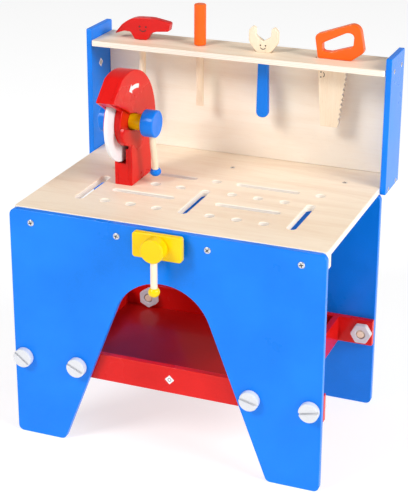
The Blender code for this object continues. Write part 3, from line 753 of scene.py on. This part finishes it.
class BENCH_OT_screws(bpy.types.Operator):
    """Make the small cross-head screws of the panels, side boards and tabletop"""
    bl_idname = "bench.screws"
    bl_label = "Screws"

    def execute(self, context):
        for number in range(4):
            node = f"panel_screw_{number + 1}"
            centre, (low, high) = middle(node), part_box(node)
            radius, thick = PANEL_SCREW
            bm = cross_screw((centre.x, low.y + thick, centre.z), (0, -1, 0),
                             radius, thick, 0.35 + number)
            span, point = high.y - low.y, 0.0017
            shank = turned([(0, 0), (PANEL_SCREW_SHANK, 0), (PANEL_SCREW_SHANK, span - point),
                            (0, span)], steps=16)
            shank.transform(to_place((centre.x, low.y + thick - 0.0001, centre.z), (0, 1, 0)))
            join(bm, shank)
            finish_piece(bm, node + "_finished", screw_finish(), "bench", [node])
        self.small_ones()
        return {"FINISHED"}

    def small_ones(self):
        """Screws that hold the shelf, the side boards and the tabletop's rear."""
        head, thick, sunk = sizes().screw_head, 0.0009, 0.0001
        row, top = panel_face() + REAR_SCREWS_IN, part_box("tabletop")[1].z
        places = [((x, row, top - sunk), (0, 0, 1)) for x in REAR_SCREWS_X]
        for node, side in (("left_side_board", -1), ("right_side_board", 1)):
            low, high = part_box(node)
            face = high.x if side > 0 else low.x
            for share in SIDE_SCREW_SHARES:
                y = low.y + share * (high.y - low.y)
                for height in SIDE_SCREW_HEIGHTS:
                    places.append(((face - side * sunk, y, height), (side, 0, 0)))
        for count, (foot, direction) in enumerate(places, 1):
            bm = cross_screw(foot, direction, head, thick, 0.8 * count)
            finish_piece(bm, f"small_screw_{count}", screw_finish(), "bench")


class BENCH_OT_saw_body(bpy.types.Operator):
    """Make the red body of the circular saw and its printed arrow"""
    bl_idname = "bench.saw_body"
    bl_label = "Saw Body"

    def execute(self, context):
        for node, side in (("saw_left_cheek", 0), ("saw_right_cheek", 1)):
            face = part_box(node)[side].x
            board(node, "red_paint", 0.0014,
                  wanted=lambda edge: all(abs(v.co.x - face) < 1e-5 for v in edge.verts))
        board("saw_core", "red_paint", 0.0010, wanted=lambda edge: False)
        self.arrow()
        return {"FINISHED"}

    def arrow(self):
        """A curved white arrow that shows which way the blade turns."""
        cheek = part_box("saw_right_cheek")[1].x
        hub = middle("saw_blade")
        inner, outer = 0.0590, 0.0665
        bm = bmesh.new()
        start = math.radians(73)
        ends = [bm.verts.new((r * math.cos(start), r * math.sin(start), 0))
                for r in (inner, outer)]
        edge = bm.edges.new(ends)
        spun = bmesh.ops.spin(bm, geom=[*ends, edge], cent=(0, 0, 0), axis=(0, 0, 1),
                              angle=math.radians(27), steps=14)
        tip = only(spun["geom_last"], bmesh.types.BMEdge)
        grown = bmesh.ops.extrude_edge_only(bm, edges=tip)["geom"]
        barb = only(grown, bmesh.types.BMVert)
        mid = sum((v.co for v in barb), Vector()) / 2
        bmesh.ops.scale(bm, verts=barb, vec=(2.3, 2.3, 1), space=Matrix.Translation(-mid))
        line = [item for item in only(grown, bmesh.types.BMEdge)
                if all(v in barb for v in item.verts)]
        point = bmesh.ops.extrude_edge_only(bm, edges=line)["geom"]
        nose = only(point, bmesh.types.BMVert)
        ahead = Vector((-mid.y, mid.x, 0)).normalized() * 0.0115
        bmesh.ops.pointmerge(bm, verts=nose, merge_co=mid + ahead)
        bmesh.ops.remove_doubles(bm, verts=bm.verts[:], dist=MERGE)
        empty = [face for face in bm.faces if face.calc_area() < MERGE ** 2]
        bmesh.ops.delete(bm, geom=empty, context="FACES")
        thicken(bm, sizes().print_height)
        # The print's own x runs to the rear and its y runs up.
        bm.transform(Matrix(((0, 0, 1, cheek), (1, 0, 0, hub.y), (0, 1, 0, hub.z),
                             (0, 0, 0, 1))))
        finish_piece(bm, "saw_arrow", flat_print_and_shade("white_print", (0.92, 0.92, 0.92)),
                     "bench")


class BENCH_OT_saw_rotor(bpy.types.Operator):
    """Make the saw blade, hub, spacer, knobs, axle and crank"""
    bl_idname = "bench.saw_rotor"
    bl_label = "Saw Rotor"

    def execute(self, context):
        for node, slot, radius, ease in (("saw_blade", "white_paint", BLADE, 0.0012),
                                         ("saw_hub", "red_paint", HUB, 0.0022),
                                         ("saw_spacer", "yellow_paint", SPACER, 0.0006)):
            centre, (low, high) = middle(node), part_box(node)
            thick = high.x - low.x
            bm = turned([(AXLE_BORE, thick / 2), (AXLE_BORE, 0), (radius, 0), (radius, thick),
                         (AXLE_BORE, thick), (AXLE_BORE, thick / 2)], ease)
            stand(bm, node, paint_for(slot),
                  to_place((low.x, centre.y, centre.z), (1, 0, 0)))
        axis = middle("saw_blade")
        for node, way in (("saw_left_knob", -1), ("saw_right_knob", 1)):
            low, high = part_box(node)
            thick = high.x - low.x
            start = low.x if way > 0 else high.x
            floor = thick - DISH_DEPTH
            bm = turned([(0, 0), (SAW_KNOB, 0), (SAW_KNOB, thick), (SAW_KNOB_DISH, thick),
                         (SAW_KNOB_DISH - 0.001, floor), (0, floor)])
            round_edges(bm, creases(bm, 60), sizes().rim_edge, 4, clamp=True)
            stand(bm, node, paint_for("blue_paint"),
                  to_place((start, axis.y, axis.z), (way, 0, 0)))
        low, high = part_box("saw_axle")
        stand(cylinder(AXLE, high.x - low.x, ease=0.0006, steps=40), "saw_axle", beech("X"),
              to_place((low.x, axis.y, axis.z), (1, 0, 0)))
        lean = math.radians(11)
        hang = Vector((0, math.sin(lean), -math.cos(lean)))
        centre = Vector((middle("saw_right_knob").x, axis.y, axis.z))
        bar_and_ball("saw_crank_bar", "saw_crank_ball", "blue_paint", centre, hang,
                     reach=0.0960, radius=0.010, start=0.012, squash=0.8)
        return {"FINISHED"}


def bar_and_ball(bar, ball, slot, centre, hang, reach, radius, start, squash):
    """A handle: a beech bar out of a knob, with a painted bead on its end."""
    rod = sizes().bar
    stand(cylinder(rod, reach, ease=0.0006, steps=40, foot=start), bar, beech("Z"),
          to_place(centre, hang))
    bore, floor = rod + 0.0003, 0.0005
    mouth = math.asin(bore / radius)
    bead = bmesh.new()
    first = bead.verts.new((bore, 0, -radius * math.cos(mouth)))
    bmesh.ops.spin(bead, geom=[first], cent=(0, 0, 0), axis=(0, -1, 0),
                   angle=math.pi - mouth, steps=22)
    lead = bead.verts.new((bore, 0, floor))
    bottom = bead.verts.new((0, 0, floor))
    bead.edges.new((first, lead))
    bead.edges.new((lead, bottom))
    bmesh.ops.spin(bead, geom=bead.verts[:] + bead.edges[:], cent=(0, 0, 0), axis=(0, 0, 1),
                   angle=2 * math.pi, steps=44, use_merge=True)
    bmesh.ops.remove_doubles(bead, verts=bead.verts[:], dist=MERGE)
    bmesh.ops.scale(bead, verts=bead.verts[:], vec=(1, 1, squash))
    stand(bead, ball, paint_for(slot), to_place(centre + hang * reach, hang))


class BENCH_OT_vise(bpy.types.Operator):
    """Make the yellow vise with its wooden screw"""
    bl_idname = "bench.vise"
    bl_label = "Vise"

    def execute(self, context):
        board("vise_jaw", "yellow_paint", 0.0018)
        for node in ("vise_left_guide", "vise_right_guide"):
            centre, (low, high) = middle(node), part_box(node)
            stand(cylinder(VISE_GUIDE, high.y - low.y, ease=0.0007, steps=32), node,
                  beech("Y"), to_place((centre.x, low.y, centre.z), (0, 1, 0)))
        axis = middle("vise_jaw")
        knob_low, knob_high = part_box("vise_knob")
        stand(cylinder(VISE_KNOB, knob_high.y - knob_low.y, sizes().rim_edge), "vise_knob",
              paint_for("yellow_paint"),
              to_place((axis.x, knob_high.y, axis.z), (0, -1, 0)))
        low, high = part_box("vise_screw")
        span = high.y - low.y
        bm = cylinder(VISE_THREAD - sizes().thread_depth, span, ease=0.0008, steps=40)
        add_thread(bm, VISE_THREAD - 0.0001, 0.0125, span)
        stand(bm, "vise_screw", beech("Y"),
              to_place((axis.x, low.y, axis.z), (0, 1, 0)))
        centre = Vector((axis.x, (knob_low.y + knob_high.y) / 2, axis.z))
        bar_and_ball("vise_bar", "vise_ball", "yellow_paint", centre, Vector((0, 0, -1)),
                     reach=0.0735, radius=0.0098, start=0.0095, squash=0.92)
        return {"FINISHED"}


def print_face(name, node, centre, size, turn=0.0):
    """Two dots and a smile printed on a tool's front, at (x, z), turned in its plane."""
    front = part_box(node)[0].y
    bm = bmesh.new()
    for side in (-1, 1):
        bmesh.ops.create_circle(bm, cap_ends=True, segments=20, radius=0.17 * size,
                                matrix=Matrix.Translation((side * 0.62 * size, 0.40 * size, 0)))
    inner, outer = 0.62 * size, 0.78 * size
    first = math.radians(-150)
    ends = [bm.verts.new((r * math.cos(first), r * math.sin(first) + 0.22 * size, 0))
            for r in (inner, outer)]
    bmesh.ops.spin(bm, geom=[*ends, bm.edges.new(ends)], cent=(0, 0.22 * size, 0),
                   axis=(0, 0, 1), angle=math.radians(120), steps=20)
    thicken(bm, sizes().print_height)
    bm.transform(Matrix.Translation((centre[0], front, centre[1]))
                 @ Matrix.Rotation(math.pi / 2, 4, "X") @ Matrix.Rotation(turn, 4, "Z"))
    finish_piece(bm, name, flat_print_and_shade("ink_print", colours().ink), BODY_OF[node])


class BENCH_OT_hammer(bpy.types.Operator):
    """Make the hammer with its printed face"""
    bl_idname = "bench.hammer"
    bl_label = "Hammer"

    def execute(self, context):
        board("hammer_head", "red_paint", sizes().tool_edge)
        centre, (low, high) = middle("hammer_handle"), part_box("hammer_handle")
        stand(cylinder(HAMMER_HANDLE, high.z - low.z, ease=0.0016, steps=44), "hammer_handle",
              beech("Z"), Matrix.Translation((centre.x, centre.y, low.z)))
        print_face("hammer_print", "hammer_head", (centre.x + 0.005, 0.6600), size=0.0100)
        return {"FINISHED"}


class BENCH_OT_screwdriver(bpy.types.Operator):
    """Make the screwdriver with its ground tip"""
    bl_idname = "bench.screwdriver"
    bl_label = "Screwdriver"

    def execute(self, context):
        low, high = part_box("screwdriver_grip")
        tip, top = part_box("screwdriver_shaft")
        centre = middle("screwdriver_shaft")
        stand(cylinder(DRIVER_GRIP, high.z - low.z, ease=0.0026, rounding=6),
              "screwdriver_grip", paint_for("orange_paint"),
              Matrix.Translation((centre.x, centre.y, low.z)))
        reach, rows = top.z - tip.z, 14
        # The ground part of the tip, its parallel end, and half of that end's thickness.
        ground, straight, flat = 0.034, 0.004, 0.0014
        sides = [(DRIVER_SHAFT, ground * k / rows) for k in range(rows + 1)]
        bm = turned([(0, 0), *sides, (DRIVER_SHAFT, reach), (0, reach)], steps=72)
        for vert in bm.verts:
            up = max(0.0, vert.co.z - straight) / (ground - straight)
            limit = flat + (DRIVER_SHAFT + 0.0005 - flat) * up
            vert.co.y = max(-limit, min(limit, vert.co.y))
        stand(bm, "screwdriver_shaft", beech("Z"),
              Matrix.Translation((centre.x, centre.y, tip.z)))
        return {"FINISHED"}


class BENCH_OT_wrench(bpy.types.Operator):
    """Make the wrench with its bare head, blue handle and printed face"""
    bl_idname = "bench.wrench"
    bl_label = "Wrench"

    def execute(self, context):
        bm = packed_copy("wrench")
        soften(bm, sizes().tool_edge, 3)
        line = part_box("tool_shelf")[0].z - 0.004
        bmesh.ops.bisect_plane(bm, geom=bm.verts[:] + bm.edges[:] + bm.faces[:],
                               plane_co=(0, 0, line), plane_no=(0, 0, 1))
        for face in bm.faces:
            face.material_index = 1 if face.calc_center_median().z < line else 0
        finish_piece(bm, "wrench_finished", [beech("Z"), paint_for("blue_paint")],
                     BODY_OF["wrench"], ["wrench"])
        print_face("wrench_print", "wrench", (middle("wrench").x, 0.6480), size=0.0078)
        return {"FINISHED"}


class BENCH_OT_handsaw(bpy.types.Operator):
    """Make the handsaw with its orange grip and printed face"""
    bl_idname = "bench.handsaw"
    bl_label = "Handsaw"

    def execute(self, context):
        board("handsaw_grip", "orange_paint", 0.0024, steps=4)
        board("handsaw_blade", "beech", 0.0009, beech("Z"), steps=2)
        print_face("handsaw_print", "handsaw_blade",
                   (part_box("handsaw_blade")[0].x + 0.0110, 0.6090), size=0.0072,
                   turn=math.radians(90))
        return {"FINISHED"}


class BENCH_OT_stickers(bpy.types.Operator):
    """Make the two small diamond stickers with a plain ring on them"""
    bl_idname = "bench.stickers"
    bl_label = "Stickers"

    def execute(self, context):
        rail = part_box("tray_front_rail")[0]
        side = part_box("left_side_board")[1]
        self.sticker("rail_sticker", (0.008, rail.y, 0.150), (0, -1, 0))
        self.sticker("side_sticker", (side.x, panel_face() + 0.364, 0.588), (1, 0, 0))
        return {"FINISHED"}

    def sticker(self, name, spot, out):
        """A white diamond with a thin dark ring."""
        proud, half, corner = sizes().print_height, STICKER_HALF, STICKER_CORNER
        paper = bmesh.new()
        wire(paper, [(half, 0, corner), (0, half, corner), (-half, 0, corner),
                     (0, -half, corner)])
        plate(paper, proud, 0)
        mark = bmesh.new()
        ring(mark, (0, 0), 0.0032, steps=32)
        ring(mark, (0, 0), 0.0023, steps=32)
        plate(mark, proud * 0.6, 0)
        bmesh.ops.translate(mark, verts=mark.verts[:], vec=(0, 0, proud))
        up = Vector((0, 0, 1))
        out = Vector(out)
        across = up.cross(out)
        place = Matrix.Translation(spot) @ Matrix((across, up, out)).transposed().to_4x4()
        for bm, part, tint in ((paper, name, (0.9, 0.9, 0.9)),
                               (mark, name + "_ring", (0.12, 0.12, 0.13))):
            bm.transform(place)
            finish_piece(bm, part, flat_print_and_shade(part + "_paper", tint), "bench")


class BENCH_OT_stage(bpy.types.Operator):
    """Make the floor, the lamps, the white surround and the camera"""
    bl_idname = "bench.stage"
    bl_label = "Stage"

    def execute(self, context):
        stage = context.scene.bench_stage
        bm = bmesh.new()
        bmesh.ops.create_grid(bm, x_segments=1, y_segments=1, size=14.0)
        mesh = to_mesh(bm, "studio_floor")
        floor = bpy.data.objects.new("studio_floor", mesh)
        context.scene.collection.objects.link(floor)
        finish, tree, shader = new_material("floor_paper", Roughness=0.75)
        mottle = stretched_noise(tree, (3, 3, 3))
        tree.links.new(blend(tree, mottle, darker(stage.floor, 0.985), stage.floor),
                       shader.inputs["Base Color"])
        shader.inputs["Specular IOR Level"].default_value = 0.0
        shader.inputs["Emission Color"].default_value = (1, 1, 1, 1)
        shader.inputs["Emission Strength"].default_value = stage.floor_glow
        mesh.materials.append(finish)

        target = Vector((0, 0, 0.36))
        for name, place, size, power in (
                ("key_lamp", (-3.0, -4.3, 4.5), 2.4, stage.key_power),
                ("side_lamp", (4.4, -1.0, 2.9), 2.6, stage.side_power)):
            lamp = bpy.data.lights.new(name, "AREA")
            lamp.shape, lamp.size, lamp.energy = "DISK", size, power
            obj = bpy.data.objects.new(name, lamp)
            obj.location = place
            obj.rotation_euler = (target - Vector(place)).to_track_quat("-Z", "Y").to_euler()
            context.scene.collection.objects.link(obj)

        world = bpy.data.worlds.new("white_surround")
        world.use_nodes = True
        tree = world.node_tree
        sky = tree.nodes["Background"]
        sky.inputs["Color"].default_value = (1, 1, 1, 1)
        way = add(tree, "TexCoord").outputs["Generated"]
        rise = add(tree, "SeparateXYZ", {0: way}).outputs[2]
        fade_from, fade_to = 0.12, 0.26
        tree.links.new(spread(tree, rise, fade_from, fade_to, stage.horizon, stage.sky),
                       sky.inputs["Strength"])
        context.scene.world = world
        context.scene.view_settings.view_transform = "Standard"

        data = bpy.data.cameras.new("bench_camera")
        data.sensor_width, data.lens, data.shift_y = 36.0, stage.lens, stage.shift
        data.clip_end = 100.0
        camera = bpy.data.objects.new("bench_camera", data)
        azimuth, elevation, roll = stage.camera_turn
        camera.matrix_world = (Matrix.Translation(stage.camera_place)
                               @ Matrix.Rotation(azimuth, 4, "Z")
                               @ Matrix.Rotation(math.pi / 2 - elevation, 4, "X")
                               @ Matrix.Rotation(roll, 4, "Z"))
        context.scene.collection.objects.link(camera)
        bpy.context.scene.camera = camera
        return {"FINISHED"}


OPERATORS = (BENCH_OT_boards, BENCH_OT_tray, BENCH_OT_toy_bolts, BENCH_OT_screws,
             BENCH_OT_saw_body, BENCH_OT_saw_rotor, BENCH_OT_vise, BENCH_OT_hammer,
             BENCH_OT_screwdriver, BENCH_OT_wrench, BENCH_OT_handsaw, BENCH_OT_stickers,
             BENCH_OT_stage)


class VIEW3D_PT_tool_bench(bpy.types.Panel):
    """Sidebar panel with the bench's sizes, colours and pieces"""
    bl_label = "Tool Bench"
    bl_space_type = "VIEW_3D"
    bl_region_type = "UI"
    bl_category = "Tool Bench"

    def draw(self, context):
        for group, kind in GROUPS.items():
            box = self.layout.box()
            for name in kind.__annotations__:
                box.prop(getattr(context.scene, group), name)
        for operator in OPERATORS:
            self.layout.operator(operator.bl_idname)


def register():
    for kind in (*GROUPS.values(), *OPERATORS, VIEW3D_PT_tool_bench):
        bpy.utils.register_class(kind)
    for group, kind in GROUPS.items():
        setattr(bpy.types.Scene, group, PointerProperty(type=kind))


def unregister():
    for group in GROUPS:
        delattr(bpy.types.Scene, group)
    for kind in reversed((*GROUPS.values(), *OPERATORS, VIEW3D_PT_tool_bench)):
        bpy.utils.unregister_class(kind)


def main():
    register()
    bpy.ops.bench.boards()
    bpy.ops.bench.tray()
    bpy.ops.bench.toy_bolts()
    bpy.ops.bench.screws()
    bpy.ops.bench.saw_body()
    bpy.ops.bench.saw_rotor()
    bpy.ops.bench.vise()
    bpy.ops.bench.hammer()
    bpy.ops.bench.screwdriver()
    bpy.ops.bench.wrench()
    bpy.ops.bench.handsaw()
    bpy.ops.bench.stickers()
    bpy.ops.bench.stage()


if __name__ == "__main__":
    main()
